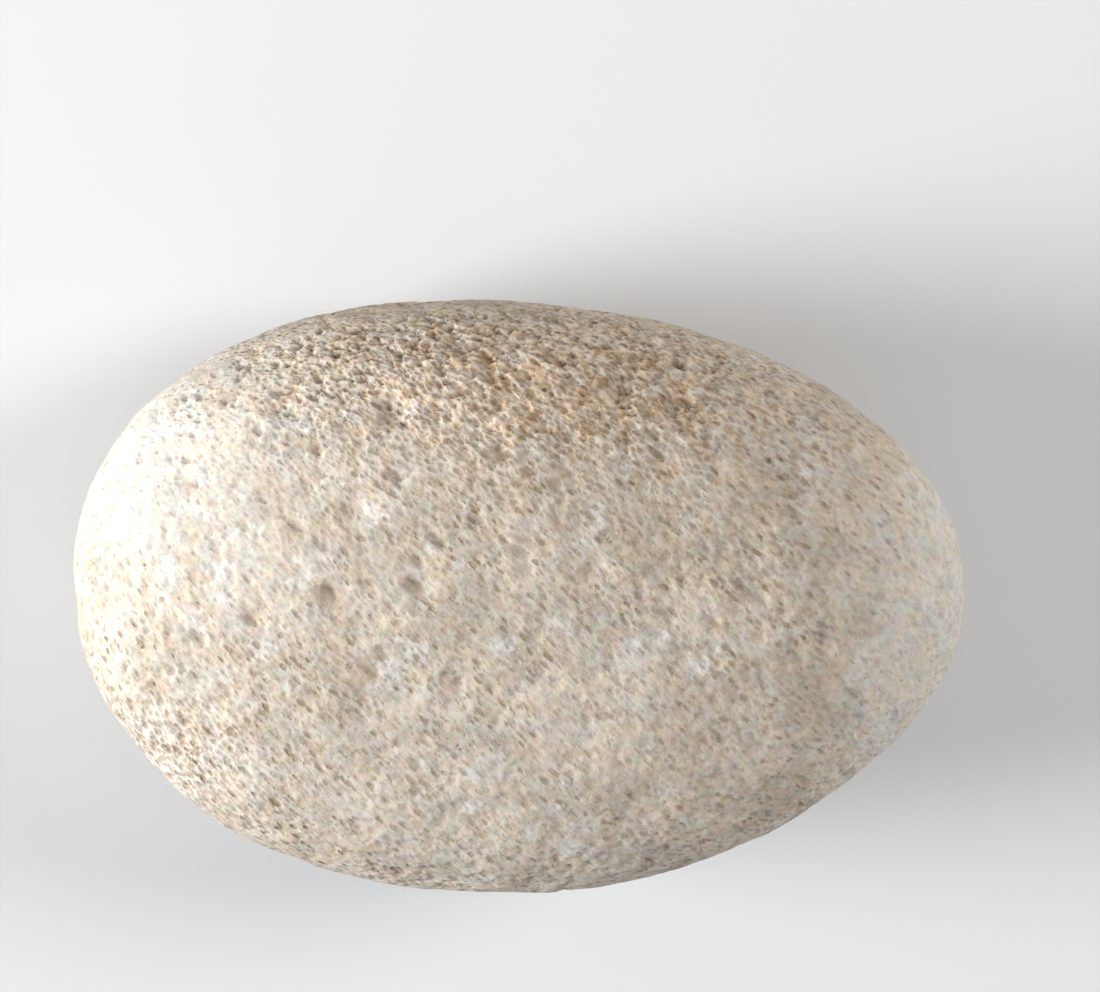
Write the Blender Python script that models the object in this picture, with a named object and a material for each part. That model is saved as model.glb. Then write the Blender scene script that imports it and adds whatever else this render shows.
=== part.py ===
"""A natural pumice stone for the skin: one oblong pebble of pale volcanic foam, lying on its broad face.

Frame: +X runs along the stone's length, +Y across its width, and +Z up, through its thickness. The origin is
on the surface that the stone lies on, under the middle of its box. Lengths are in metres.
"""

import math

import bmesh
import bpy
from mathutils import Vector, noise
from mathutils.bvhtree import BVHTree

# Driving dimensions
LENGTH = 0.1020
WIDTH = 0.0670
THICKNESS = 0.0380
WORN_DEPTH = 0.0010  # the rounded form is this much thicker than the stone, before its underside is worn flat

# Roundness of the form: 2 is an ellipse, and larger is boxier
PLAN_ROUNDNESS = 2.06
RIM_ROUNDNESS = 2.45
# The plan is slightly three-cornered: shares of the radius, once along and once across
CORNER_ALONG = 0.0158
CORNER_ACROSS = 0.0153

# Lumps: wavelength and height of each size of swelling
LUMPS = ((0.0300, 0.00075), (0.0140, 0.00045), (0.0065, 0.00028), (0.0040, 0.00020))
LUMP_SEED = Vector((19.3, 11.1, 15.0))

# The gas bubbles were drawn out along one direction as the lava flowed
GRAIN = Vector((0.81, -0.58, -0.08)).normalized()

# Larger open pits on the upper face that the eye picks out: along X, along Y, length, width
CHOSEN_PITS = (
    (-0.0215, 0.0248, 0.0048, 0.0038),
    (0.0046, 0.0280, 0.0040, 0.0036),
    (0.0106, 0.0268, 0.0044, 0.0038),
    (0.0211, 0.0213, 0.0036, 0.0028),
    (-0.0258, 0.0143, 0.0040, 0.0028),
    (-0.0273, 0.0055, 0.0046, 0.0032),
    (-0.0353, 0.0011, 0.0044, 0.0032),
    (-0.0175, 0.0063, 0.0044, 0.0028),
    (0.0298, 0.0018, 0.0038, 0.0028),
    (0.0015, 0.0094, 0.0034, 0.0026),
    (-0.0117, -0.0038, 0.0030, 0.0024),
    (0.0401, 0.0044, 0.0028, 0.0022),
)
PIT_DEPTH_SHARE = 0.45  # depth of a pit, as a share of its width
PIT_RINGS = ((1.0, 0.0), (0.82, 0.7), (0.45, 1.0))  # share of the pit's size, and of its depth
PIT_UNEVENNESS = 0.35  # how far a pit's rim strays from an oval, as a share of its radius
PIT_UNEVEN_SCALE = 0.0011
MOST_REACH = 0.8  # a rim stays within this share of the way to the corners of the face that it opens
INSET_STEP = 0.0001  # the width that a new ring of faces has before its corners are placed
SCATTERED_PITS = 118
PIT_LENGTH_RANGE = (0.0024, 0.0046)
PIT_SLENDERNESS = 0.62  # width of a scattered pit, as a share of its length
PIT_SPACING = 0.0053
PIT_FREE_HEIGHT = 0.0030  # no pit is cut lower than this, so that the underside stays whole
UPPER_HEIGHT = 0.0290  # scattered pits above this are on the broad upper face
UPPER_SHARE = 0.65  # and this is their length there, as a share of what it is elsewhere
CORNERS_TRIED = 3  # a pit opens at the nearest of this many corners that no other pit has taken
# The root of x^4 = x + 1, whose inverse powers are the steps of three sequences that fill space evenly together
SPREAD = 1.2207440846

# Faces along each side of the block that the stone is rounded from
CUTS = (28, 19, 11)

COLOUR = (0.565, 0.490, 0.405, 1.0)
ROUGHNESS = 0.95

TINY = 1e-6  # shorter lengths count as nothing


def clear_scene():
    for old in list(bpy.data.objects):
        bpy.data.objects.remove(old, do_unlink=True)


def evenly_spread(index, power):
    """A number from 0 to 1. It never repeats as index grows, and each power gives a sequence of its own."""
    return (0.5 + index * SPREAD**-power) % 1.0


def block_of_quads():
    """A cube from -1 to 1 whose edges are cut along X, Y and Z by their own counts."""
    bm = bmesh.new()
    bmesh.ops.create_cube(bm, size=2.0)
    for axis, count in enumerate(CUTS):
        along = [e for e in bm.edges if abs((e.verts[0].co - e.verts[1].co)[axis]) > TINY]
        bmesh.ops.subdivide_edges(bm, edges=along, cuts=count - 1, use_grid_fill=True)
    return bm


def on_sphere(corner):
    """The point of the unit sphere for a point of the cube, with the grid kept even."""
    even = Vector([math.tan(c * math.pi / 4) for c in corner])
    return even.normalized()


def rounded_form(direction):
    """The stone without its lumps, where the direction from its middle meets the surface."""
    half = Vector((LENGTH / 2, WIDTH / 2, (THICKNESS + WORN_DEPTH) / 2))
    point = Vector([d * h for d, h in zip(direction, half)])
    x, y, z = direction
    angle = math.atan2(y, x)
    corners = 1 + CORNER_ALONG * math.cos(3 * angle) + CORNER_ACROSS * math.sin(3 * angle)
    plan = (abs(x / corners) ** PLAN_ROUNDNESS + abs(y / corners) ** PLAN_ROUNDNESS) ** (1 / PLAN_ROUNDNESS)
    reach = (plan**RIM_ROUNDNESS + abs(z) ** RIM_ROUNDNESS) ** (1 / RIM_ROUNDNESS)
    return point / reach


def lump_height(point):
    """How far the surface swells out or sinks in at a point."""
    height = 0.0
    for wavelength, most in LUMPS:
        height += most * noise.noise(point / wavelength + LUMP_SEED)
    return height


def shape_stone(bm):
    for vert in bm.verts:
        vert.co = rounded_form(on_sphere(vert.co))
    bm.normal_update()
    swollen = [vert.co + vert.normal * lump_height(vert.co) for vert in bm.verts]
    for vert, place in zip(bm.verts, swollen):
        vert.co = place


def wear_underside(bm):
    """Cuts the flat that the stone lies on, and brings that flat to the height of the origin."""
    lowest = min(vert.co.z for vert in bm.verts)
    highest = max(vert.co.z for vert in bm.verts)
    flat_height = highest - THICKNESS
    print(f"underside worn by {(flat_height - lowest) * 1000:.2f} mm")
    cut = bmesh.ops.bisect_plane(
        bm,
        geom=bm.verts[:] + bm.edges[:] + bm.faces[:],
        dist=TINY,
        plane_co=(0, 0, flat_height),
        plane_no=(0, 0, 1),
        clear_inner=True,
    )
    rim = [item for item in cut["geom_cut"] if isinstance(item, bmesh.types.BMEdge)]
    bmesh.ops.contextual_create(bm, geom=rim)
    bmesh.ops.translate(bm, verts=bm.verts, vec=(0, 0, -flat_height))


def centre_in_plan(bm):
    middle = Vector((0, 0, 0))
    for axis in (0, 1):
        places = [vert.co[axis] for vert in bm.verts]
        middle[axis] = (min(places) + max(places)) / 2
    bmesh.ops.translate(bm, verts=bm.verts, vec=-middle)


def mesh_object(name, bm):
    mesh = bpy.data.meshes.new(name)
    bm.to_mesh(mesh)
    bm.free()
    piece = bpy.data.objects.new(name, mesh)
    bpy.context.scene.collection.objects.link(piece)
    return piece


def make_stone():
    bm = block_of_quads()
    shape_stone(bm)
    wear_underside(bm)
    centre_in_plan(bm)
    bmesh.ops.recalc_face_normals(bm, faces=bm.faces)
    sink_pits(bm)
    return mesh_object("pumice_stone", bm)


def pit_places(surface):
    """(point, length, width) of every pit: the chosen ones, then others spread over the stone."""
    places = []
    for x, y, length, width in CHOSEN_PITS:
        point = surface.ray_cast(Vector((x, y, 2 * THICKNESS)), Vector((0, 0, -1)))[0]
        places.append((point, length, width))
    centre = Vector((0, 0, THICKNESS / 2))
    index = 0
    while len(places) < len(CHOSEN_PITS) + SCATTERED_PITS:
        index += 1
        height = 2 * evenly_spread(index, 1) - 1
        angle = 2 * math.pi * evenly_spread(index, 2)
        around = math.sqrt(1 - height * height)
        direction = Vector((around * math.cos(angle), around * math.sin(angle), height)).normalized()
        point = surface.ray_cast(centre + direction * LENGTH, -direction)[0]
        if point.z < PIT_FREE_HEIGHT:
            continue
        if min((point - other[0]).length for other in places) < PIT_SPACING:
            continue
        share = evenly_spread(index, 3)
        length = PIT_LENGTH_RANGE[0] + share * (PIT_LENGTH_RANGE[1] - PIT_LENGTH_RANGE[0])
        if point.z > UPPER_HEIGHT:
            length *= UPPER_SHARE
        places.append((point, length, length * PIT_SLENDERNESS))
    return places


def opened_face(bm, vert):
    """Takes a corner out, so that the four quads round it become one face, and gives that face."""
    loops = list(vert.link_loops)
    far_corners = [loop.link_loop_next.link_loop_next.vert for loop in loops]
    bmesh.ops.dissolve_verts(bm, verts=[vert])
    shared = set(far_corners[0].link_faces)
    for corner in far_corners[1:]:
        shared &= set(corner.link_faces)
    return shared.pop()


def sink_pit(bm, surface, vert, middle, length, width):
    """Opens one bubble: a rim on the surface, a steep wall, then a bowl, each an inset of the last."""
    normal = vert.normal.copy()
    along = (GRAIN - normal * GRAIN.dot(normal)).normalized()
    across = normal.cross(along)
    # Seen end on, the drawn-out bubbles are round
    end_on = abs(GRAIN.dot(normal))
    half_length = (length * (1 - end_on) + width * end_on) / 2
    half_width = width / 2
    face = opened_face(bm, vert)
    rim = []
    for corner in face.verts:
        offset = corner.co - middle
        turn = math.atan2(offset.dot(across), offset.dot(along))
        uneven = 1 + PIT_UNEVENNESS * noise.noise(corner.co / PIT_UNEVEN_SCALE)
        spoke = uneven * (along * (half_length * math.cos(turn)) + across * (half_width * math.sin(turn)))
        longest = MOST_REACH * offset.length
        if spoke.length > longest:
            spoke *= longest / spoke.length
        rim.append(spoke)
    for size, depth in PIT_RINGS:
        bmesh.ops.inset_individual(bm, faces=[face], thickness=INSET_STEP)
        for corner, spoke in zip(face.verts, rim):
            on_surface = surface.find_nearest(middle + spoke * size)[0]
            corner.co = on_surface - normal * (depth * PIT_DEPTH_SHARE * width)


def sink_pits(bm):
    """Opens every pit at a corner where four whole quads meet, so that no two pits share a face."""
    surface = BVHTree.FromBMesh(bm)
    bm.normal_update()
    corners = [
        vert
        for vert in bm.verts
        if vert.co.z > PIT_FREE_HEIGHT and [len(face.verts) for face in vert.link_faces] == [4, 4, 4, 4]
    ]
    taken = set()
    chosen = []
    for point, length, width in pit_places(surface):
        corners.sort(key=lambda corner: (corner.co - point).length_squared)
        for vert in corners[:CORNERS_TRIED]:
            if taken.isdisjoint(vert.link_faces):
                taken.update(vert.link_faces)
                chosen.append((vert, point, length, width))
                break
    for vert, point, length, width in chosen:
        sink_pit(bm, surface, vert, point, length, width)
    print(f"{len(chosen)} pits")


def pumice_material():
    material = bpy.data.materials.new("pumice")
    material.use_nodes = True
    shader = material.node_tree.nodes["Principled BSDF"]
    shader.inputs["Base Color"].default_value = COLOUR
    shader.inputs["Roughness"].default_value = ROUGHNESS
    shader.inputs["Metallic"].default_value = 0.0
    return material


def main():
    clear_scene()
    stone = make_stone()
    stone.data.materials.append(pumice_material())
    stone.data.shade_smooth()


main()
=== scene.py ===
# %% [markdown]
# A pumice stone, as it is sold for rubbing hard skin. Pumice is volcanic glass that froze while it was full
# of gas, so the whole stone is a stiff foam. The lava was still flowing as it cooled, and that drew the
# bubbles out along one direction, which shows as a grain of short slanted pores. The pebble was then
# tumbled round. Its solid model is loaded first, and the rest of this scene gives that solid a real surface.

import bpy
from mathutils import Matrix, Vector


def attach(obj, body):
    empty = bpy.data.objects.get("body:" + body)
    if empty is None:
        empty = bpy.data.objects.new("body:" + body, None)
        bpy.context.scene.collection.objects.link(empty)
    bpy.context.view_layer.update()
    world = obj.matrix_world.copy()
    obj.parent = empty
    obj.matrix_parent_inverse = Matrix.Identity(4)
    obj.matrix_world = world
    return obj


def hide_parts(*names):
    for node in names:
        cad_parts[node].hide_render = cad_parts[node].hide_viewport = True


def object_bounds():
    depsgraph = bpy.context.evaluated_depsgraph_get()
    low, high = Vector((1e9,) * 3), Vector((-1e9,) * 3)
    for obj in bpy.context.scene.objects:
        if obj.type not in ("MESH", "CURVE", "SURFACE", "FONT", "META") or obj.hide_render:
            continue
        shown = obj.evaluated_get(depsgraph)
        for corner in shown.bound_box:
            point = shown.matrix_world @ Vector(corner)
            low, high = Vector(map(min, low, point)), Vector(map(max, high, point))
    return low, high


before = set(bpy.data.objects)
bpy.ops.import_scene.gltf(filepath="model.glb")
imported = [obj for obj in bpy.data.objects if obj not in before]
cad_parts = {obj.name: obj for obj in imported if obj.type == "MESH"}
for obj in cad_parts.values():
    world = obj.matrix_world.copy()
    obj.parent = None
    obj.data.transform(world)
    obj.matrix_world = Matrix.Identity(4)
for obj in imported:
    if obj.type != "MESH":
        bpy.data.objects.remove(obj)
cad_low, cad_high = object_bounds()
print("solid from", [round(1000 * v, 1) for v in cad_low], "to", [round(1000 * v, 1) for v in cad_high], "mm")

# %% [markdown]
# The camera stands over a metre off with a long lens, so the stone shows almost no perspective. It looks
# down on the broad face from a little to the left of it and a little past its far edge. Three values say
# that: where the camera is, the point at half the stone's height that it aims at, and how far it is rolled.
# A constraint could aim it as well, but that takes a second object to aim at.

# %% Camera
import math

import bmesh
import bpy
from mathutils import Matrix, Quaternion, Vector

MM = 0.001
CAMERA_PLACE = Vector((-335.5, 319.7, 1078.5)) * MM
CAMERA_AIM = Vector((1.6, 12.4, 19.0)) * MM
CAMERA_ROLL = math.radians(7.35)
LENS = 340.0
SENSOR = 36.0
FARTHEST_SEEN = 20.0

camera = bpy.data.objects.new("camera", bpy.data.cameras.new("camera"))
bpy.context.scene.collection.objects.link(camera)
bpy.context.scene.camera = camera
camera.data.sensor_width = SENSOR
camera.data.lens = LENS
camera.data.clip_end = FARTHEST_SEEN
# The camera's own axes while it is level: right, up and back. The roll comes after them
back = (CAMERA_PLACE - CAMERA_AIM).normalized()
right = Vector((0, 1, 0)).cross(back).normalized()
level = Matrix((right, back.cross(right), back)).transposed()
camera.rotation_mode = "QUATERNION"
camera.rotation_quaternion = level.to_quaternion() @ Quaternion((0, 0, 1), CAMERA_ROLL)
camera.location = CAMERA_PLACE
print("camera", round((CAMERA_PLACE - CAMERA_AIM).length, 3), "m away")

# %% [markdown]
# The stone lies on a plain pale floor. It is flat, so one face is enough, and it is so wide that its edges
# stay out of the picture. An operator could add such a plane, but it depends on Blender's mode and changes
# what is selected. Building the mesh directly does neither.

# %% Floor
FLOOR_SIZE = 6.0
FLOOR_GREY = 0.72
FLOOR_ROUGHNESS = 0.7


def plain_material(name, grey, roughness):
    material = bpy.data.materials.new(name)
    material.use_nodes = True
    shader = material.node_tree.nodes["Principled BSDF"]
    shader.inputs["Base Color"].default_value = (grey, grey, grey, 1)
    shader.inputs["Roughness"].default_value = roughness
    return material


def make_floor():
    sheet = bmesh.new()
    bmesh.ops.create_grid(sheet, x_segments=1, y_segments=1, size=FLOOR_SIZE / 2)
    mesh = bpy.data.meshes.new("floor")
    sheet.to_mesh(mesh)
    sheet.free()
    floor = bpy.data.objects.new("floor", mesh)
    bpy.context.scene.collection.objects.link(floor)
    mesh.materials.append(plain_material("pale floor", FLOOR_GREY, FLOOR_ROUGHNESS))


make_floor()
print("floor", FLOOR_SIZE, "m across")

# %% [markdown]
# Most of the light comes from the sky and from a large soft lamp high on the right, and it reaches the whole
# broad face evenly. A second lamp, a trace bluer, stands low on the left: the stone's left end faces it and
# is far brighter, and its raking light picks out the pores' walls. Both lamps are wide discs, since a point
# of light would cast hard shadows. The Standard view shows each colour as the shaders make it.

# %% Lamps and sky
HIGH_LAMP = {"place": (1.32, 0.71, 1.07), "size": 0.90, "power": 18.3, "colour": (1.0, 0.99, 0.975)}
LOW_LAMP = {"place": (-0.98, -0.05, 0.31), "size": 0.45, "power": 20.0, "colour": (0.92, 0.965, 1.0)}
SKY_GREY = 0.90
SKY_STRENGTH = 0.40


def soft_lamp(name, place, size, power, colour):
    lamp = bpy.data.objects.new(name, bpy.data.lights.new(name, "AREA"))
    lamp.data.color = colour
    lamp.data.shape = "DISK"
    lamp.data.size = size
    lamp.data.energy = power
    lamp.location = place
    lamp.rotation_mode = "QUATERNION"
    lamp.rotation_quaternion = (-Vector(place)).to_track_quat("-Z", "Y")
    bpy.context.scene.collection.objects.link(lamp)
    print(name, round(Vector(place).length, 2), "m away,", power, "W")


soft_lamp("high_lamp", **HIGH_LAMP)
soft_lamp("low_lamp", **LOW_LAMP)
sky = bpy.data.worlds.new("sky")
sky.use_nodes = True
sky.node_tree.nodes["Background"].inputs["Color"].default_value = (SKY_GREY, SKY_GREY, SKY_GREY, 1)
sky.node_tree.nodes["Background"].inputs["Strength"].default_value = SKY_STRENGTH
bpy.context.scene.world = sky
bpy.context.scene.view_settings.view_transform = "Standard"

# %% [markdown]
# The solid already has the stone's form, its lumps and its larger pits, but its faces are millimetres wide.
# Subdividing them would keep the pattern of its facets. A voxel remesh of a copy lays a skin of small even
# squares over it instead, and rounds of smoothing take the facets away.

# %% Even skin over a copy of the solid
SKIN_SQUARE = 0.76 * MM
SAME_PLACE = 1e-6  # corners that are closer than this are one
SMOOTH_ROUNDS = 6
SMOOTH_STEP = 0.5  # how far a point goes towards the middle of its neighbours in a round


def even_skin(node, square):
    bm = bmesh.new()
    bm.from_mesh(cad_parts[node].data)
    bmesh.ops.remove_doubles(bm, verts=bm.verts, dist=SAME_PLACE)
    rough = bpy.data.objects.new("rough", bpy.data.meshes.new("rough"))
    bm.to_mesh(rough.data)
    bm.clear()
    bpy.context.scene.collection.objects.link(rough)
    remesh = rough.modifiers.new("even squares", "REMESH")
    remesh.mode = "VOXEL"
    remesh.voxel_size = square
    bm.from_mesh(rough.evaluated_get(bpy.context.evaluated_depsgraph_get()).to_mesh())
    bpy.data.objects.remove(rough)
    return bm


def smooth(bm, rounds):
    every_way = {"use_axis_x": True, "use_axis_y": True, "use_axis_z": True}
    for _ in range(rounds):
        bmesh.ops.smooth_vert(bm, verts=bm.verts, factor=SMOOTH_STEP, **every_way)


skin = even_skin("pumice_stone", SKIN_SQUARE)
smooth(skin, SMOOTH_ROUNDS)
print("even skin of", len(skin.faces), "squares")

# %% [markdown]
# The stone's larger pits hold dirt, and the material also darkens them with painted shade. How deep each
# point lies in one is measured against the same skin, once it is smoothed until its pits are gone. It is
# kept as an attribute, which finer squares take over from the coarse ones. Then the upper half gets squares
# half as wide, so that the pores there can be real hollows. The lower half is seen only from low down and
# stays coarse, to save triangles.

# %% Depth of the pits, and finer squares above
LEVELLING_ROUNDS = 40
FINE_ABOVE = 19.0 * MM
FINE_ROUNDS = 2  # rounds of smoothing after the squares are cut


def pit_depths(bm):
    """How far each point lies below the same skin after its pits are smoothed away."""
    bm.normal_update()
    level = bm.copy()
    smooth(level, LEVELLING_ROUNDS)
    depths = [(flat.co - vert.co).dot(vert.normal) for flat, vert in zip(level.verts, bm.verts)]
    level.free()
    return depths


pit = skin.verts.layers.float.new("pit")
for vert, depth in zip(skin.verts, pit_depths(skin)):
    vert[pit] = depth / MM
print("pits of the solid go down to", round(max(vert[pit] for vert in skin.verts), 2), "mm")
upper = {edge for face in skin.faces if face.calc_center_median().z > FINE_ABOVE for edge in face.edges}
bmesh.ops.subdivide_edges(skin, edges=list(upper), cuts=1, use_grid_fill=True)
smooth(skin, FINE_ROUNDS)
stone = bpy.data.objects.new("stone", bpy.data.meshes.new("stone"))
skin.to_mesh(stone.data)
skin.free()
bpy.context.scene.collection.objects.link(stone)
stone.data.calc_loop_triangles()
print(len(stone.data.vertices), "points,", len(stone.data.loop_triangles), "triangles")

# %% [markdown]
# A real stone isn't the same all over, so places on this one are marked. A place could be painted by hand,
# but a soft ellipsoid is easier to move: its share is 1 in the middle and fades away over its reach. Each
# share is kept as an attribute of the mesh, so that the shape and the material both follow it.

# %% Marking a place
import numpy as np


def points_and_normals(mesh):
    points = np.empty(len(mesh.vertices) * 3, np.float32)
    mesh.vertices.foreach_get("co", points)
    normals = np.empty(len(mesh.vertices) * 3, np.float32)
    mesh.vertex_normals.foreach_get("vector", normals)
    return points.reshape(-1, 3).astype(float), normals.reshape(-1, 3).astype(float)


def share_of(points, middle, reach):
    """How much each point belongs to a soft ellipsoid, or to a soft ball where reach is one number."""
    return np.exp(-(((points - np.array(middle)) / np.array(reach)) ** 2).sum(1))


def keep(mesh, name, values):
    mesh.attributes.new(name, "FLOAT", "POINT").data.foreach_set("value", np.asarray(values, np.float32))
    print(name, "is over a half on", round(100 * float((values > 0.5).mean())), "% of the points")


points, normals = points_and_normals(stone.data)
print("places are marked on", len(points), "points")

# %% [markdown]
# The far shoulder is stained tan, partly by iron and partly with painted shade, and has lost its skin, so it
# looks like the crumb of a loaf, and the near edge at the left is crumbly too. The two ends, the near side
# and the flat below are rubbed smoother. The left half is a little crumbly, and fine dust partly fills its
# pores. Nothing is rubbed smooth where it crumbles, so the rubbed share gives way to the crumbly one.

# %% Stain with painted shade, crumbly and rubbed places
# Middle and reach of each place, in millimetres
FAR_SHOULDER = ((-3.0, 28.0, 28.0), (29.0, 8.5, 12.0))
NEAR_LEFT_EDGE = ((-41.0, -17.0, 24.0), (12.0, 8.0, 11.0))
LEFT_HALF = ((-30.0, 10.0, 30.0), (19.0, 19.0, 16.0))
EDGE_CRUMBLY = 0.75  # how crumbly the near edge at the left is
HALF_CRUMBLY = 0.28  # and the left half
# A rubbed place also has its own share in the middle, and that middle is widened
RUBBED = (
    ((49.0, -2.0, 22.0), (20.0, 26.0, 22.0), 0.8),
    ((9.0, -22.0, 34.0), (30.0, 24.0, 22.0), 0.43),
    ((-43.0, 16.0, 26.0), (17.0, 14.0, 18.0), 0.7),
    ((0.0, 0.0, 0.0), (40.0, 28.0, 8.0), 1.0),
)
WIDENED = 1.6

# The stained share also carries painted shade: with it the material makes the far shoulder darker and
# browner, besides its real iron stain.
stained_and_shaded = share_of(points / MM, *FAR_SHOULDER)
filled = share_of(points / MM, *LEFT_HALF)
crumbly = stained_and_shaded + EDGE_CRUMBLY * share_of(points / MM, *NEAR_LEFT_EDGE) + HALF_CRUMBLY * filled
crumbly = np.minimum(crumbly, 1.0)
rubbed = np.zeros(len(points))
for middle, reach, most in RUBBED:
    rubbed = np.maximum(rubbed, most * np.minimum(WIDENED * share_of(points / MM, middle, reach), 1.0))
rubbed *= 1 - crumbly
keep(stone.data, "stained_and_shaded", stained_and_shaded)
keep(stone.data, "filled", filled)
keep(stone.data, "crumbly", crumbly)
keep(stone.data, "rubbed", rubbed)

# %% [markdown]
# Pale dust lies on the stone in patches a few millimetres across, and thinly all over the left half. The
# patches of the upper face that stand out have places of their own, and the rest are scattered. A
# random point of the mesh would fall on the fine upper half too often, so a face is drawn by its area.

# %% Dust
# Patches on the upper face: place along and across, and reach, in millimetres
DUSTY = (
    (-38.6, 3.9, 2.2), (-30.7, 7.3, 2.4), (-36.3, 0.9, 1.8), (-33.9, -2.1, 2.2), (-23.6, 14.5, 2.6),
    (-13.4, 9.9, 1.6), (-7.7, 0.0, 2.8), (-1.2, 3.2, 2.4), (9.4, 1.7, 2.4), (15.7, -1.6, 2.2),
    (35.5, -1.0, 3.2), (26.5, 8.7, 1.8), (-12.6, 26.3, 1.8), (-6.1, 22.9, 1.6), (-31.0, 22.7, 2.2),
    (-17.7, -0.7, 2.4), (4.3, 21.2, 2.2), (1.1, 13.8, 2.0),
)
DUST_ELSEWHERE = 60
DUST_REACH = (1.2 * MM, 3.0 * MM)
HALF_DUSTY = 0.35  # how dusty the left half is
SEED = 11  # the same number gives the same dust and bubbles on each run


def random_places(mesh, count, draw, weights=1.0):
    """Random places with their normals, all of the surface being as likely, unless weights say otherwise."""
    areas = np.array([face.area for face in mesh.polygons]) * weights
    chosen = draw.choice(len(areas), size=count, p=areas / areas.sum())
    return [(mesh.polygons[i].center.copy(), mesh.polygons[i].normal.copy()) for i in chosen]


def seen_from_above(points, normals, along, across):
    """The number of the point of the upper side that is nearest to a place in the plan."""
    away = ((points[:, :2] / MM - (along, across)) ** 2).sum(1)
    return np.where(normals[:, 2] > 0, away, np.inf).argmin()


draw = np.random.default_rng(SEED)
dust = HALF_DUSTY * filled
for along, across, reach in DUSTY:
    place = points[seen_from_above(points, normals, along, across)]
    dust = np.maximum(dust, share_of(points, place, reach * MM))
for place, _ in random_places(stone.data, DUST_ELSEWHERE, draw):
    dust = np.maximum(dust, share_of(points, place, draw.uniform(*DUST_REACH)))
keep(stone.data, "dust", dust)

# %% [markdown]
# Each pore is a bubble that the stone's worn surface cuts open. Most are small, some are larger, and the
# crumbly places have many more. A bubble is written down as a ball whose middle stands a little above the
# surface, so that its mouth is wide and its floor shallow. Only pores at least half a millimetre wide are
# made in this way, because finer ones would need far more triangles.

# %% Bubbles
GRAIN = Vector((0.81, -0.58, -0.08)).normalized()  # the way in which the bubbles are drawn out
# Each kind of bubble: how many to a square centimetre, smallest and largest radius across the grain, how far
# the middle stands above the surface as a share of the radius, and whether only crumbly places have it
BUBBLES = (
    (50.0, 0.32 * MM, 0.50 * MM, 0.56, False),
    (2.0, 0.52 * MM, 0.78 * MM, 0.55, False),
    (55.0, 0.28 * MM, 0.46 * MM, 0.50, True),
)
SQUARE_CM = 1e-4
HEIGHT_VARIES = (0.6, 1.4)  # a bubble's middle is this many times as high as its kind's, at least and at most
# Larger single bubbles on the upper face: place along and across, and radius, in millimetres
LONE_BUBBLES = (
    (-41.0, -1.2, 0.80), (-40.1, 9.2, 0.75), (24.8, 16.2, 0.85), (-6.8, 11.3, 0.75), (7.8, 22.3, 0.75),
    (33.3, -3.3, 0.65), (-32.0, 12.5, 0.80), (-28.0, -6.2, 0.80), (-20.9, -1.0, 0.75), (13.0, 0.7, 0.70),
    (9.2, 2.8, 0.65), (-28.8, 10.8, 0.70), (-30.1, 20.5, 0.75), (-29.6, 18.3, 0.65), (16.1, 4.2, 0.80),
    (-37.2, 11.8, 0.70), (-21.6, 18.8, 0.75), (37.6, 2.4, 0.65),
)
LONE_HEIGHT = 0.40


def bubbles_to_cut(mesh, points, normals):
    """Place, normal, radius and height of the middle over the surface, of every bubble."""
    areas = np.array([face.area for face in mesh.polygons])
    loose = np.array([crumbly[face.vertices[0]] for face in mesh.polygons])
    bubbles = []
    for density, least, most, height, only_crumbly in BUBBLES:
        weights = loose if only_crumbly else np.ones(len(areas))
        count = int(density * (areas * weights).sum() / SQUARE_CM)
        for place, normal in random_places(mesh, count, draw, weights):
            # The square makes small ones commoner
            radius = least + (most - least) * draw.random() ** 2
            bubbles.append((place, normal, radius, height * draw.uniform(*HEIGHT_VARIES)))
        print(count, "bubbles up to", round(2 * most / MM, 2), "mm wide")
    for along, across, radius in LONE_BUBBLES:
        i = seen_from_above(points, normals, along, across)
        bubbles.append((points[i], normals[i], radius * MM, LONE_HEIGHT))
    return bubbles


bubbles = bubbles_to_cut(stone.data, points, normals)
print(len(bubbles), "bubbles in all")

# %% [markdown]
# Cutting thousands of bubbles out with a Boolean modifier would be slow and leave slivers, so the mesh's own
# points move instead. Space is squeezed along the grain first, so that a drawn-out bubble becomes a ball,
# and a ball is easy to cut: a point inside it sinks to the ball's far side. Where balls overlap, the deepest
# wins, and what stays between them is the thin sharp wall of a foam.

# %% How far each point sinks
from mathutils.kdtree import KDTree

DRAWN_OUT = 2.5  # a bubble's length over its width
DEEPEST = 0.7 * MM
RUBBED_LESS = 0.6  # how much shallower the bubbles of rubbed places are
FILLED_LESS = 0.3  # and those that dust partly fills


def squeezed(points):
    """The points with space squeezed along the grain, so that drawn-out bubbles are round."""
    grain = np.array(GRAIN)
    return points + np.outer((points @ grain) * (1 / DRAWN_OUT - 1), grain)


def bubble_depths(bubbles, points, normals):
    round_space = squeezed(points)
    inward = squeezed(-normals)
    tree = KDTree(len(round_space))
    for i, point in enumerate(round_space):
        tree.insert(point, i)
    tree.balance()
    depths = np.zeros(len(points))
    for place, normal, radius, height in bubbles:
        middle = squeezed(np.array([place + normal * (radius * height)]))[0]
        near = [i for _, i, _ in tree.find_range(middle, radius)]
        if not near:
            continue
        # The way inwards meets the ball where a quadratic equation has its larger root
        offset = round_space[near] - middle
        way = inward[near]
        a = (way * way).sum(1)
        b = (way * offset).sum(1)
        c = (offset * offset).sum(1) - radius * radius
        sunk = (-b + np.sqrt(np.maximum(b * b - a * c, 0))) / a
        depths[near] = np.maximum(depths[near], sunk)
    return np.minimum(depths, DEEPEST) * (1 - RUBBED_LESS * rubbed) * (1 - FILLED_LESS * filled)


depths = bubble_depths(bubbles, points, normals)
print("hollow share of the surface:", round(float((depths > 0).mean()), 2))

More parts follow.
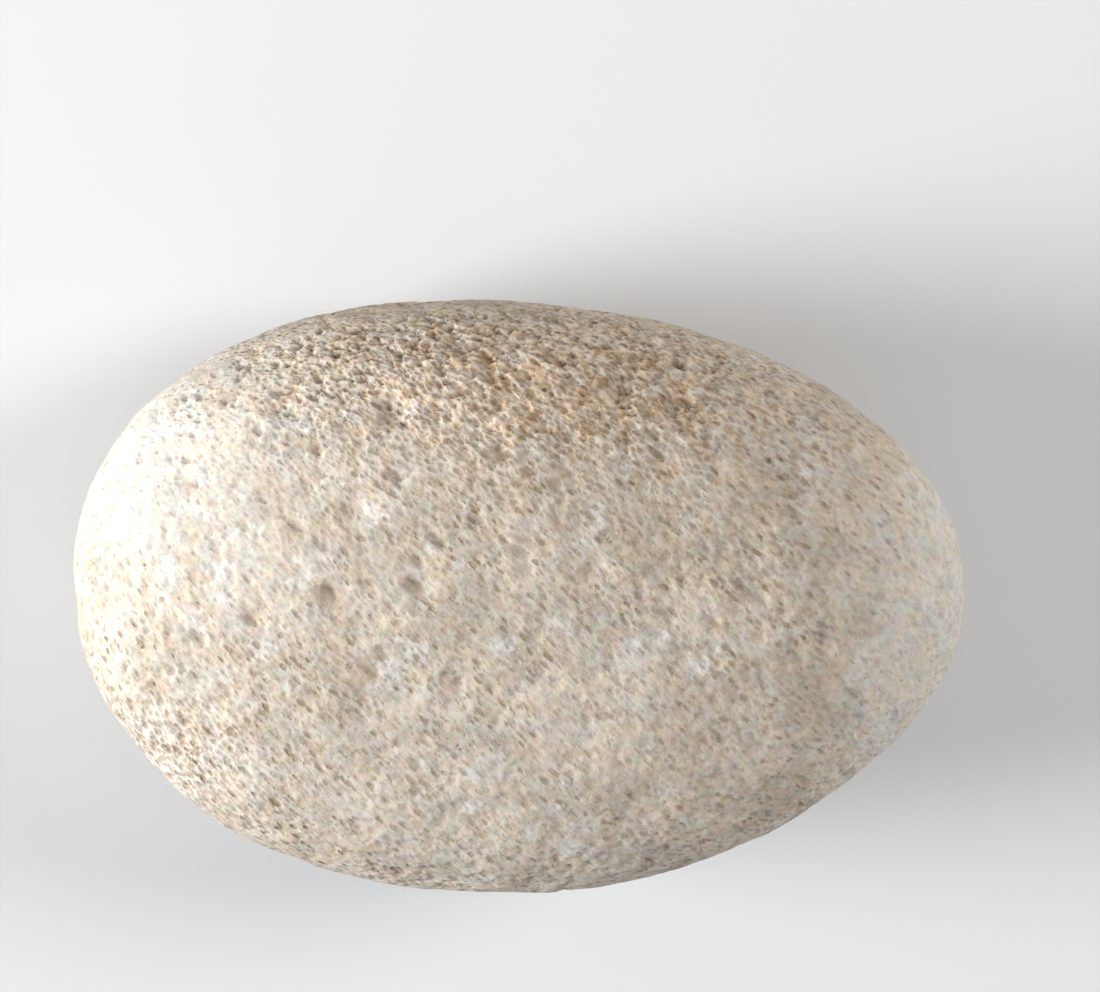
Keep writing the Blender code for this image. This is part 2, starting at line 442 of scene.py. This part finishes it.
# %% [markdown]
# The ground between the bubbles isn't smooth either: it is uneven in two sizes, more so where the stone
# crumbles and less so where dust fills it. A Displace modifier could do that too, but the points are moved
# here anyway. How deep each has sunk is kept as an attribute, which the material reads to shade and stain the
# hollows. Nothing may stand outside the solid's box, so the points are kept in it, which also stops the worn
# underside from bulging.

# %% Sink the bubbles into uneven ground
from mathutils import noise

# Wavelength across the grain and height, for each size of unevenness
UNEVEN = ((2.4 * MM, 0.05 * MM), (0.95 * MM, 0.07 * MM))
CRUMBLY_TIMES = 1.4  # how much more uneven crumbly places are


def unevenness(points):
    """How far each point of the ground between the bubbles stands out."""
    heights = np.zeros(len(points))
    for wavelength, height in UNEVEN:
        heights += height * np.array([noise.noise(Vector(place) / wavelength) for place in squeezed(points)])
    return heights * (1 + CRUMBLY_TIMES * crumbly) * (1 - FILLED_LESS * filled)


points += normals * (unevenness(points) - depths)[:, None]
points = np.clip(points, np.array(cad_low), np.array(cad_high))
stone.data.vertices.foreach_set("co", points.astype(np.float32).ravel())
keep(stone.data, "hollow", depths / DEEPEST)
stone.data.update()
stone.data.shade_smooth()
print("deepest pore", round(float(depths.max()) / MM, 2), "mm")

# %% [markdown]
# Most pores are finer than this mesh can hold, so the material makes them. It could be drawn by hand in the
# node editor, but a recipe in code can be read from top to bottom. Two functions build all of it: one gives
# an input its value, and one adds a node.

# %% Material and its nodes
material = bpy.data.materials.new("pumice")
material.use_nodes = True
nodes = material.node_tree.nodes
links = material.node_tree.links
shader = nodes["Principled BSDF"]
print("a new material has", len(nodes), "nodes")


def join(node, key, value):
    """Gives one input of a node a number, a tuple or another node's output."""
    if isinstance(value, bpy.types.NodeSocket):
        links.new(value, node.inputs[key])
    else:
        node.inputs[key].default_value = value


def add(kind, inputs, **settings):
    """A new node. Its inputs go by their names or numbers, and settings are what isn't an input."""
    node = nodes.new("ShaderNode" + kind)
    for name, value in settings.items():
        setattr(node, name, value)
    for key, value in inputs.items():
        join(node, key, value)
    return node


# %% [markdown]
# The recipe takes half a dozen kinds of node many times over, so each has a short function, which takes
# numbers or other nodes' outputs and gives an output. The most used is a smooth step, or ramp. It is written
# as the value where it starts and the value where it ends, then what it gives at each of the two. Where the
# last two are left out, it goes from 0 to 1.

# %% Kinds of node
NOISE_MIDDLE = 0.5


def maths(operation, first, second=0.0):
    return add("Math", {0: first, 1: second}, operation=operation).outputs[0]


def vector_maths(operation, first, second):
    return add("VectorMath", {0: first, 1: second}, operation=operation).outputs[0]


def ramp(value, start, end, at_start=0.0, at_end=1.0):
    """A smooth step from at_start, where value is start, to at_end, where it is end."""
    inputs = {"Value": value, "From Min": start, "From Max": end, "To Min": at_start, "To Max": at_end}
    return add("MapRange", inputs, interpolation_type="SMOOTHSTEP").outputs["Result"]


def mix(share, first, second):
    """The first colour where the share is 0, and the second where it is 1."""
    # A Mix node has inputs and outputs for numbers and vectors too, so its colours go by their numbers
    return add("Mix", {0: share, 6: first, 7: second}, data_type="RGBA").outputs[2]


def cloud(vector, wavelength, detail=2.0, finer=0.6):
    """Soft noise from 0 to 1, in patches about wavelength across. finer is how strong its details are."""
    return add("TexNoise", {"Vector": vector, "Scale": 1 / wavelength, "Detail": detail, "Roughness": finer})


def kept(name):
    """What the mesh carries at each point under this name."""
    return add("Attribute", {}, attribute_name=name).outputs["Fac"]


# %% [markdown]
# The finest crumbs of the foam are drawn out along the grain too. A Mapping node turns the stone's own
# coordinates until X runs along the grain, and divides them by the size of one crumb or pore, so that any
# round pattern comes out slanted and long. A fine noise in that space is the crumbs. Its bright parts are
# grit, and its colour is a push, which moves the larger patterns about so that no pore is a plain oval.

# %% Grain and crumbs
CRUMB = (0.60 * MM, 1.10 * MM)  # width across the grain and length along it
GRIT = (0.28, 0.72)  # a crumb this dark is no grit, and one this bright is all grit
PUSH = 0.4  # how far the crumbs move a pore, from one extreme to the other, in cells

coordinates = add("TexCoord", {}).outputs["Object"]
grain_turn = GRAIN.to_track_quat("X", "Z").to_euler()


def along_grain(width, length):
    """Coordinates in which one cell is width across the grain and length along it."""
    inputs = {"Vector": coordinates, "Rotation": grain_turn, "Scale": (length, width, width)}
    return add("Mapping", inputs, vector_type="TEXTURE").outputs["Vector"]


crumbs = cloud(along_grain(*CRUMB), 1.0, detail=1.5)
push = vector_maths("SUBTRACT", crumbs.outputs["Color"], (NOISE_MIDDLE, NOISE_MIDDLE, NOISE_MIDDLE))
push = vector_maths("MULTIPLY", push, (PUSH, PUSH, PUSH))
grit = ramp(crumbs.outputs["Fac"], *GRIT)
print("crumbs turned by", [round(math.degrees(angle)) for angle in grain_turn], "degrees")

# %% [markdown]
# The pores aren't equally open all over. Rubbing and dust have partly closed those of the ends and of the
# left half, and the crumbly places have lost the skin that covered theirs. Even elsewhere one patch is more
# open than the next. Each size of pore could follow all of these by itself, but one strength is easier: the
# pores and the grit are multiplied by it.

# %% How open the pores are
OPEN_PATCH = 5.0 * MM
OPEN_BY_PATCH = (0.36, 0.64, 0.78, 1.15)
OPEN_BY_RUBBING = (0.0, 1.0, 1.13, 0.38)
OPEN_BY_FILLING = (0.0, 1.0, 1.0, 0.65)
CRUMBLY_OPENS = 0.32

openness = ramp(cloud(coordinates, OPEN_PATCH, detail=1.0).outputs["Fac"], *OPEN_BY_PATCH)
strength = ramp(kept("rubbed"), *OPEN_BY_RUBBING)
strength = maths("ADD", strength, maths("MULTIPLY", kept("crumbly"), CRUMBLY_OPENS))
strength = maths("MULTIPLY", strength, openness)
strength = maths("MULTIPLY", strength, ramp(kept("filled"), *OPEN_BY_FILLING))
print(len(nodes), "nodes so far")

# %% [markdown]
# Voronoi cells in the grain's space are bubbles side by side: each cell's middle is a hollow, whose size and
# depth come from the cell's own random colour. A noise could give dark spots as well, but they would all
# melt into each other. There are two sizes of pore. The small cells also give the crumb of the broken foam:
# the places furthest from every cell's middle are its walls, and those near a middle are the mouths of its
# bubbles.

# %% Pores, walls and mouths
LARGE_CELL = (0.78 * MM, 1.95 * MM)  # width across the grain and length along it
SMALL_CELL = (0.52 * MM, 0.96 * MM)
PORE_DEPTHS = (0.16, 0.80)  # the shallowest pore and the deepest
PORE_RIM = 1.15  # a pore has faded out at this many times its radius
OPEN_FOAM = (0.0, 0.80, 0.12, 1.0)  # how much the broken foam shows, by how crumbly the place is
WALLS = (0.50, 0.72)  # how far from a cell's middle its wall starts and is full, in cells
MOUTHS = (0.56, 0.26)  # and the same for its mouth


def cells_of(width, length):
    """Bubbles side by side, width across the grain and length along it."""
    place = vector_maths("ADD", along_grain(width, length), push)
    return add("TexVoronoi", {"Vector": place, "Scale": 1.0})


def pores_in(cells, smallest, largest, floor_share):
    """From 0 outside the pores to about 1 in the deepest. Their radii are given in cells."""
    own = add("SeparateColor", {"Color": cells.outputs["Color"]})
    radius = ramp(own.outputs[0], 0.0, 1.0, smallest, largest)
    own_depth = ramp(own.outputs[1], 0.0, 1.0, *PORE_DEPTHS)
    hollow = ramp(maths("DIVIDE", cells.outputs["Distance"], radius), PORE_RIM, floor_share)
    return maths("MULTIPLY", maths("MULTIPLY", hollow, own_depth), strength)


large_pores = pores_in(cells_of(*LARGE_CELL), smallest=0.26, largest=0.49, floor_share=0.40)
small_cells = cells_of(*SMALL_CELL)
small_pores = pores_in(small_cells, smallest=0.24, largest=0.46, floor_share=0.45)
open_foam = ramp(kept("crumbly"), *OPEN_FOAM)
walls = maths("MULTIPLY", ramp(small_cells.outputs["Distance"], *WALLS), open_foam)
mouths = maths("MULTIPLY", ramp(small_cells.outputs["Distance"], *MOUTHS), open_foam)
print("pores in cells of", round(LARGE_CELL[0] / MM, 2), "and", round(SMALL_CELL[0] / MM, 2), "mm")

# %% [markdown]
# The body is cream in some patches and greyer in others, and each millimetre or two of it turns a little
# warmer or cooler, rosier or greener. A single colour would look like plaster. Rubbed places are paler, since
# dust clogs them, and loose dust is ashy. The edges of both are made ragged by a noise.

# %% Body colour
CREAM = (0.600, 0.520, 0.436, 1)
GREY = (0.488, 0.420, 0.345, 1)
CLOGGED = (0.675, 0.641, 0.580, 1)
ASH = (0.660, 0.640, 0.618, 1)
# Each pair multiplies the colour, one way or the other
WARM = (1.055, 1.0, 0.94, 1)
COOL = (0.945, 1.0, 1.06, 1)
ROSY = (1.0, 0.95, 1.0, 1)
GREENISH = (1.0, 1.045, 1.0, 1)
# Patches of noise: how wide those of the cream are, those that make edges ragged, and those of the hues
CREAM_PATCH = 7.0 * MM
RAGGED_PATCH = 1.6 * MM
HUE_PATCH = 2.6 * MM
ROSY_PATCH = 1.2 * MM
CREAM_BY_PATCH = (0.36, 0.64)
CLOGGED_BY_RUBBING = (0.36, 0.92, 0.0, 0.80)
ASHY_BY_DUST = (0.45, 0.95, 0.0, 0.55)
DUST_RAGGED = 2.4
HUES_SPREAD = (0.0, 1.0, 4.2, 9.0)  # how far the hues are spread out, by how stained the place is


def two_ways(value, times):
    """A noise spread out round its middle, from 0 to 1."""
    spread = maths("MULTIPLY", maths("SUBTRACT", value, NOISE_MIDDLE), times)
    return add("Clamp", {"Value": maths("ADD", spread, NOISE_MIDDLE)}).outputs[0]


patches = cloud(coordinates, CREAM_PATCH).outputs["Fac"]
body = mix(ramp(patches, *CREAM_BY_PATCH), GREY, CREAM)
ragged = cloud(coordinates, RAGGED_PATCH, detail=3.0)
edge = maths("SUBTRACT", ragged.outputs["Fac"], NOISE_MIDDLE)
body = mix(ramp(maths("ADD", kept("rubbed"), edge), *CLOGGED_BY_RUBBING), body, CLOGGED)
hues = add("SeparateColor", {"Color": cloud(coordinates, HUE_PATCH, finer=0.75).outputs["Color"]})
rosy = cloud(coordinates, ROSY_PATCH, detail=1.5).outputs["Fac"]
times = ramp(kept("stained_and_shaded"), *HUES_SPREAD)
body = vector_maths("MULTIPLY", body, mix(two_ways(hues.outputs[1], times), COOL, WARM))
body = vector_maths("MULTIPLY", body, mix(two_ways(rosy, times), GREENISH, ROSY))
dusty = ramp(maths("ADD", kept("dust"), maths("MULTIPLY", edge, DUST_RAGGED)), *ASHY_BY_DUST)
body = mix(dusty, body, ASH)
print(len(nodes), "nodes so far")

# %% [markdown]
# Iron has stained the far shoulder, and the stain is partly painted shade too: its tan darkens the whole
# shoulder. The stain isn't one tan: lumps of sand, ochre and slate lie over it, and some are darker and some
# lighter. Each lump comes from a noise that a step cuts off, and the share of the stain fades it out towards
# the edge.

# %% Stain and painted shade on the shoulder
TAN = (0.520, 0.345, 0.190, 1)
SAND = (0.760, 0.600, 0.440, 1)
OCHRE = (0.620, 0.405, 0.225, 1)
SLATE = (0.500, 0.480, 0.460, 1)
DARKER = (0.80, 0.80, 0.80, 1)
LIGHTER = (1.14, 1.14, 1.14, 1)
UNCHANGED = (1.0, 1.0, 1.0, 1)
LUMP_PATCH = 2.5 * MM
STAIN = (0.25, 1.0)  # the stain starts at the first share, and is full at the second
STAIN_RAGGED = 2.0
TAN_SHARE = 0.20
SAND_LUMPS = (0.48, 0.64, 0.0, 0.58)
OCHRE_LUMPS = (0.50, 0.62, 0.0, 0.55)
SLATE_LUMPS = (0.51, 0.62, 0.0, 0.60)
SHADE_SPREAD = 4.0

# This share of the stain is partly painted shade: it darkens and browns the whole far shoulder.
stain_and_shade = ramp(maths("ADD", kept("stained_and_shaded"), maths("MULTIPLY", edge, STAIN_RAGGED)), *STAIN)
body = mix(maths("MULTIPLY", stain_and_shade, TAN_SHARE), body, TAN)
lumps = cloud(coordinates, LUMP_PATCH).outputs["Fac"]
for lump, step, colour in (
    (lumps, SAND_LUMPS, SAND),
    (hues.outputs[1], OCHRE_LUMPS, OCHRE),
    (hues.outputs[2], SLATE_LUMPS, SLATE),
):
    body = mix(maths("MULTIPLY", kept("stained_and_shaded"), ramp(lump, *step)), body, colour)
shade = mix(two_ways(hues.outputs[0], SHADE_SPREAD), DARKER, LIGHTER)
body = vector_maths("MULTIPLY", body, mix(kept("stained_and_shaded"), UNCHANGED, shade))
print(len(nodes), "nodes so far")

# %% [markdown]
# Hollows hold dirt and little light reaches their floors, so every kind of hollow mixes the body towards one
# deep colour, which is dirt and painted shade at once: rusty under the stain, and dull where the stone is
# rubbed. The walls of the broken foam are its palest part, since they are the thinnest, and their pale is
# also painted light on the ridges. Like baked shadows, this painted shade and light suit one light only.

# %% Dirt and painted shade in the hollows
DEEP = (0.240, 0.163, 0.090, 1)
RUST = (0.260, 0.145, 0.062, 1)
DULL = (0.235, 0.187, 0.140, 1)
PALE = (0.730, 0.665, 0.595, 1)
DULL_BY_RUBBING = (0.0, 0.7)
DARK_LUMPS = (0.52, 0.36, 0.0, 0.42)
BETWEEN_GRIT = (0.8, 0.0, 0.0, 0.34)
# How far each kind of finer hollow goes towards the deep colour, and how far the walls go towards theirs
LARGE_SHARE = 0.80
SMALL_SHARE = 0.30
MOUTH_SHARE = 0.26
WALL_SHARE = 0.50
SUNK = (0.1, 0.9)  # a hollow of the mesh starts to get dirt and painted shade at the first depth, and is full at the second
SUNK_BY_CRUMBLING = (0.0, 1.0, 0.32, 0.60)
PIT_DIRT_AND_SHADE = (0.03, 0.30, 0.0, 0.18)

deep = mix(stain_and_shade, mix(ramp(kept("rubbed"), *DULL_BY_RUBBING), DEEP, DULL), RUST)
# Darker lumps of the stain, partly painted shade over the shoulder.
body = mix(maths("MULTIPLY", kept("stained_and_shaded"), ramp(lumps, *DARK_LUMPS)), body, deep)
# Between the grit the body goes towards the deep colour: painted shade in the crevices of the crumb.
body = mix(maths("MULTIPLY", ramp(grit, *BETWEEN_GRIT), strength), body, deep)
# Pores and the mouths of bubbles take the deep colour: dirt and painted shade in them.
for hollow, share in ((large_pores, LARGE_SHARE), (small_pores, SMALL_SHARE), (mouths, MOUTH_SHARE)):
    body = mix(maths("MULTIPLY", hollow, share), body, deep)
# The walls turn paler: partly thin glass, partly painted light on the ridges.
body = mix(maths("MULTIPLY", walls, WALL_SHARE), body, mix(stain_and_shade, PALE, SAND))
# Hollows and pits of the mesh take the deep colour too: dirt and painted shade.
sunk = maths("MULTIPLY", ramp(kept("hollow"), *SUNK), ramp(kept("crumbly"), *SUNK_BY_CRUMBLING))
body = mix(sunk, body, deep)
body = mix(ramp(kept("pit"), *PIT_DIRT_AND_SHADE), body, deep)
join(shader, "Base Color", body)
print(len(nodes), "nodes so far")

# %% [markdown]
# The same patterns make the relief, so that each dark pore is also a hollow that catches the light on one
# side. Broken glass foam scatters light every way: it is almost fully rough, and has little gloss.

# %% Relief and roughness
RELIEF = 0.115 * MM  # the height of 1 in the numbers below
GRIT_RISES = 0.40
LARGE_SINK = 1.4
SMALL_SINK = 0.5
FOAM_RELIEF = 0.45
ROUGH_BY_GRIT = (0.0, 1.0, 1.0, 0.86)
GLOSS = 0.2

rising = maths("MULTIPLY", maths("MULTIPLY", grit, GRIT_RISES), strength)
sinking = maths("ADD", maths("MULTIPLY", large_pores, LARGE_SINK), maths("MULTIPLY", small_pores, SMALL_SINK))
relief = maths("SUBTRACT", rising, sinking)
relief = maths("ADD", relief, maths("MULTIPLY", maths("SUBTRACT", walls, mouths), FOAM_RELIEF))
bump = add("Bump", {"Height": relief, "Distance": RELIEF, "Strength": 1.0})
join(shader, "Normal", bump.outputs["Normal"])
join(shader, "Roughness", ramp(grit, *ROUGH_BY_GRIT))
join(shader, "Specular IOR Level", GLOSS)
stone.data.materials.append(material)
print(len(nodes), "nodes in the pumice")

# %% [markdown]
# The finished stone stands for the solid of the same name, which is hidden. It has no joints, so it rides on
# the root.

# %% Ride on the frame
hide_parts("pumice_stone")
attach(stone, "root")
print(stone.name, "rides on the root, with", len(stone.data.polygons), "faces")
